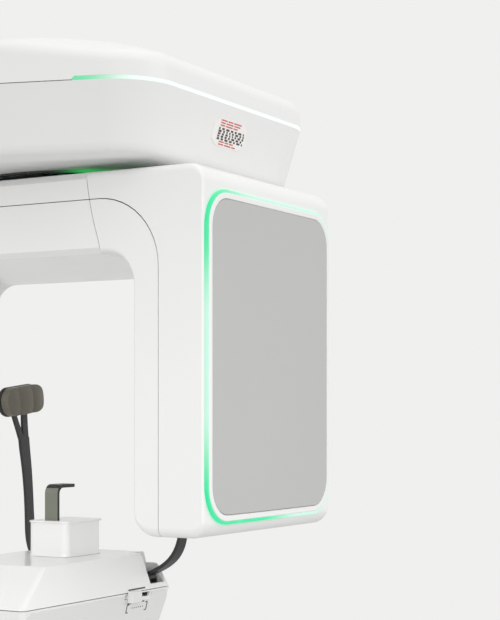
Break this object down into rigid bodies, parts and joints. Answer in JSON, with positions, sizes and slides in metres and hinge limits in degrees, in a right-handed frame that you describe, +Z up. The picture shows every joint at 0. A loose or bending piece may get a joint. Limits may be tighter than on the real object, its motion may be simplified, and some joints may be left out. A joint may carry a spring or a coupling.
{
  "type": "panoramic dental x-ray machine",
  "caption": "Floor-standing panoramic dental x-ray machine: lifting column, overhead head, rotating C-arm with detector and tube blocks, patient table with chin rest and temple supports.",
  "frame": {"origin": "on the floor at the centre of the column", "axes": "+Z up; the head and the arm reach towards -Y; the patient stands on the +X side and faces -X"},
  "size_m": [0.8, 1.352, 1.968],
  "materials": {
    "white_cover": "satin gloss white ABS",
    "pearl_cover": "satin white",
    "painted_white": "fine white powder coat",
    "grey_panel": "satin grey",
    "light_guide": "lit green light guide",
    "dark_plastic": "fine matt",
    "steel": "machined",
    "cast_aluminium": "as cast",
    "pad_rubber": "soft matt",
    "belt_rubber": "ribbed",
    "red_plastic": "moulded",
    "key_plastic": "moulded"
  },
  "bodies": {
    "column": {"base_plate": "painted_white", "base_cover": "pearl_cover", "column_extrusion": "painted_white", "column_bolts": "steel", "column_rails": "steel", "lift_tube": "cast_aluminium", "mains_inlet": "dark_plastic"},
    "power_switch": {"power_switch": "dark_plastic"},
    "carriage": {"guide_blocks": "steel", "carriage_spine": "steel", "carriage_cover": "white_cover", "lift_rod": "steel", "head_frame": "cast_aluminium", "head_upper_cover": "white_cover", "head_lower_cover": "white_cover", "head_light_strip": "light_guide", "bearing_light_ring": "light_guide", "support_arm": "painted_white", "table_frame": "steel", "table_housing": "white_cover", "table_top_cover": "white_cover", "table_side_panel": "grey_panel", "hand_grips": "dark_plastic"},
    "stage": {"stage_plate": "steel", "bearing_ring": "steel", "rotation_motor": "dark_plastic", "drive_belt": "belt_rubber", "bearing_skirt": "dark_plastic"},
    "motor_pulley": {"motor_pulley": "steel"},
    "rotor": {"spindle": "steel", "large_pulley": "cast_aluminium", "arm_frame": "cast_aluminium", "beam_top_cover": "white_cover", "beam_bottom_cover": "white_cover", "detector_outer_shell": "white_cover", "detector_inner_shell": "white_cover", "detector_window": "white_cover", "detector_panel": "grey_panel", "detector_light_ring": "light_guide", "flat_panel_detector": "dark_plastic", "generator_outer_shell": "white_cover", "generator_inner_shell": "white_cover", "generator_window": "dark_plastic", "tube_head": "cast_aluminium", "collimator_housing": "dark_plastic", "cover_screws": "steel"},
    "slit_left": {"slit_left": "steel"},
    "slit_right": {"slit_right": "steel"},
    "slit_top": {"slit_top": "steel"},
    "slit_bottom": {"slit_bottom": "steel"},
    "emergency_stop": {"emergency_stop": "red_plastic"},
    "chinrest": {"chinrest_block": "white_cover"},
    "bite_bracket": {"bite_bracket": "dark_plastic"},
    "temple_left": {"temple_arm_left": "dark_plastic", "temple_pad_left": "pad_rubber"},
    "temple_right": {"temple_arm_right": "dark_plastic", "temple_pad_right": "pad_rubber"},
    "laser_lever": {"laser_lever": "white_cover"},
    "lift_up_key": {"lift_up_key": "key_plastic"},
    "lift_down_key": {"lift_down_key": "key_plastic"}
  },
  "joints": [
    {"name": "lift", "type": "slide", "parent": "column", "child": "carriage", "axis": [0, 0, 1], "range_m": [-0.35, 0.35]},
    {"name": "power_rocker", "type": "hinge", "parent": "column", "child": "power_switch", "pos_m": [0.06, 0.128, 0.057], "axis": [1, 0, 0], "range_deg": [-7, 7]},
    {"name": "stage_shift", "type": "slide", "parent": "carriage", "child": "stage", "axis": [0, 1, 0], "range_m": [-0.03, 0.03]},
    {"name": "arm_rotation", "type": "hinge", "parent": "stage", "child": "rotor", "pos_m": [0, -0.8, 1.415], "axis": [0, 0, 1], "range_deg": [-180, 180]},
    {"name": "motor_spin", "type": "hinge", "parent": "stage", "child": "motor_pulley", "pos_m": [0, -0.6, 1.915], "axis": [0, 0, 1], "range_deg": [-815, 815]},
    {"name": "slit_left_slide", "type": "slide", "parent": "rotor", "child": "slit_left", "axis": [1, 0, 0], "range_m": [-0.012, 0.01]},
    {"name": "slit_right_slide", "type": "slide", "parent": "rotor", "child": "slit_right", "axis": [1, 0, 0], "range_m": [-0.01, 0.012]},
    {"name": "slit_top_slide", "type": "slide", "parent": "rotor", "child": "slit_top", "axis": [0, 0, 1], "range_m": [-0.01, 0.012]},
    {"name": "slit_bottom_slide", "type": "slide", "parent": "rotor", "child": "slit_bottom", "axis": [0, 0, 1], "range_m": [-0.012, 0.01]},
    {"name": "emergency_press", "type": "slide", "parent": "carriage", "child": "emergency_stop", "axis": [-1, 0, 0], "range_m": [0, 0.004], "stiffness_N_per_m": 1500},
    {"name": "chinrest_lift", "type": "slide", "parent": "carriage", "child": "chinrest", "axis": [0, 0, 1], "range_m": [0, 0.04]},
    {"name": "bite_lift_out", "type": "slide", "parent": "chinrest", "child": "bite_bracket", "axis": [0, 0, 1], "range_m": [0, 0.06]},
    {"name": "temple_close", "type": "hinge", "parent": "carriage", "child": "temple_left", "pos_m": [0.032, -0.702, 1.147], "axis": [1, 0, 0], "range_deg": [0, 10]},
    {"name": "temple_close_right", "type": "hinge", "parent": "carriage", "child": "temple_right", "pos_m": [0.032, -0.898, 1.147], "axis": [1, 0, 0], "range_deg": [-10, 0]},
    {"name": "laser_slide", "type": "slide", "parent": "carriage", "child": "laser_lever", "axis": [1, 0, 0], "range_m": [0, 0.04]},
    {"name": "lift_up_press", "type": "slide", "parent": "carriage", "child": "lift_up_key", "axis": [-1, 0, 0], "range_m": [0, 0.003], "stiffness_N_per_m": 600},
    {"name": "lift_down_press", "type": "slide", "parent": "carriage", "child": "lift_down_key", "axis": [-1, 0, 0], "range_m": [0, 0.003], "stiffness_N_per_m": 600}
  ],
  "couplings": [
    {"joint": "motor_spin", "follows": "arm_rotation", "ratio": 4.5},
    {"joint": "slit_right_slide", "follows": "slit_left_slide", "ratio": -1},
    {"joint": "slit_bottom_slide", "follows": "slit_top_slide", "ratio": -1},
    {"joint": "temple_close_right", "follows": "temple_close", "ratio": -1}
  ]
}
